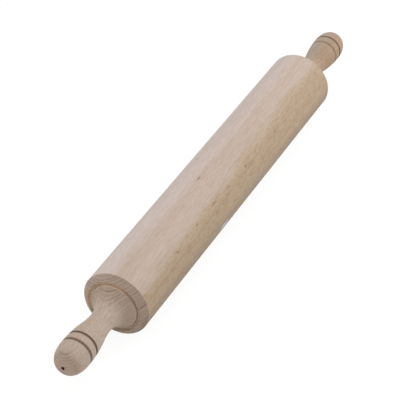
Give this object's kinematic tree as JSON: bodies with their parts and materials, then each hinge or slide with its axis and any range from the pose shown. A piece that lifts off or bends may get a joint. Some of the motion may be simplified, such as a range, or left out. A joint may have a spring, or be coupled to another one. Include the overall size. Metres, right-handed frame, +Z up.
{
  "type": "rolling pin with revolving handles",
  "caption": "Wooden rolling pin: a crowned cylindrical roller on ball bearings, with turned handles fixed to a steel axle",
  "frame": {"origin": "middle of the roller, on the axis about which it turns", "axes": "+X along the pin, towards the handle that is far from the camera in the picture (right); +Z up; the pin lies on a table with its lowest line at z = -0.035"},
  "size_m": [0.6356, 0.07, 0.07],
  "materials": {
    "roller_beech": "fine-sanded raw beech, matt",
    "handle_beech": "turned raw beech, matt",
    "axle_steel": "drawn bright steel",
    "bearing_steel": "ground bearing steel",
    "ball_steel": "polished",
    "cage_nylon": "natural nylon",
    "shield_steel": "pressed sheet steel",
    "clip_steel": "phosphated spring steel"
  },
  "bodies": {
    "roller": {"roller": "roller_beech", "bearing_outer_ring_left": "bearing_steel", "front_shield_left": "shield_steel", "back_shield_left": "shield_steel", "bearing_outer_ring_right": "bearing_steel", "front_shield_right": "shield_steel", "back_shield_right": "shield_steel"},
    "handles_and_axle": {"axle": "axle_steel", "handle_left": "handle_beech", "bearing_inner_ring_left": "bearing_steel", "support_ring_left": "axle_steel", "retaining_clip_left": "clip_steel", "handle_right": "handle_beech", "bearing_inner_ring_right": "bearing_steel", "support_ring_right": "axle_steel", "retaining_clip_right": "clip_steel"},
    "cage_left": {"bearing_cage_left": "cage_nylon", "bearing_balls_left": "ball_steel"},
    "cage_right": {"bearing_cage_right": "cage_nylon", "bearing_balls_right": "ball_steel"}
  },
  "joints": [
    {"name": "handle_turn", "type": "hinge", "parent": "roller", "child": "handles_and_axle", "pos_m": [0, 0, 0], "axis": [1, 0, 0], "continuous": true},
    {"name": "cage_turn_left", "type": "hinge", "parent": "roller", "child": "cage_left", "pos_m": [-0.2046, 0, 0], "axis": [1, 0, 0], "continuous": true},
    {"name": "cage_turn_right", "type": "hinge", "parent": "roller", "child": "cage_right", "pos_m": [0.2046, 0, 0], "axis": [1, 0, 0], "continuous": true}
  ],
  "couplings": [
    {"joint": "cage_turn_left", "follows": "handle_turn", "ratio": 0.3678},
    {"joint": "cage_turn_right", "follows": "handle_turn", "ratio": 0.3678}
  ]
}
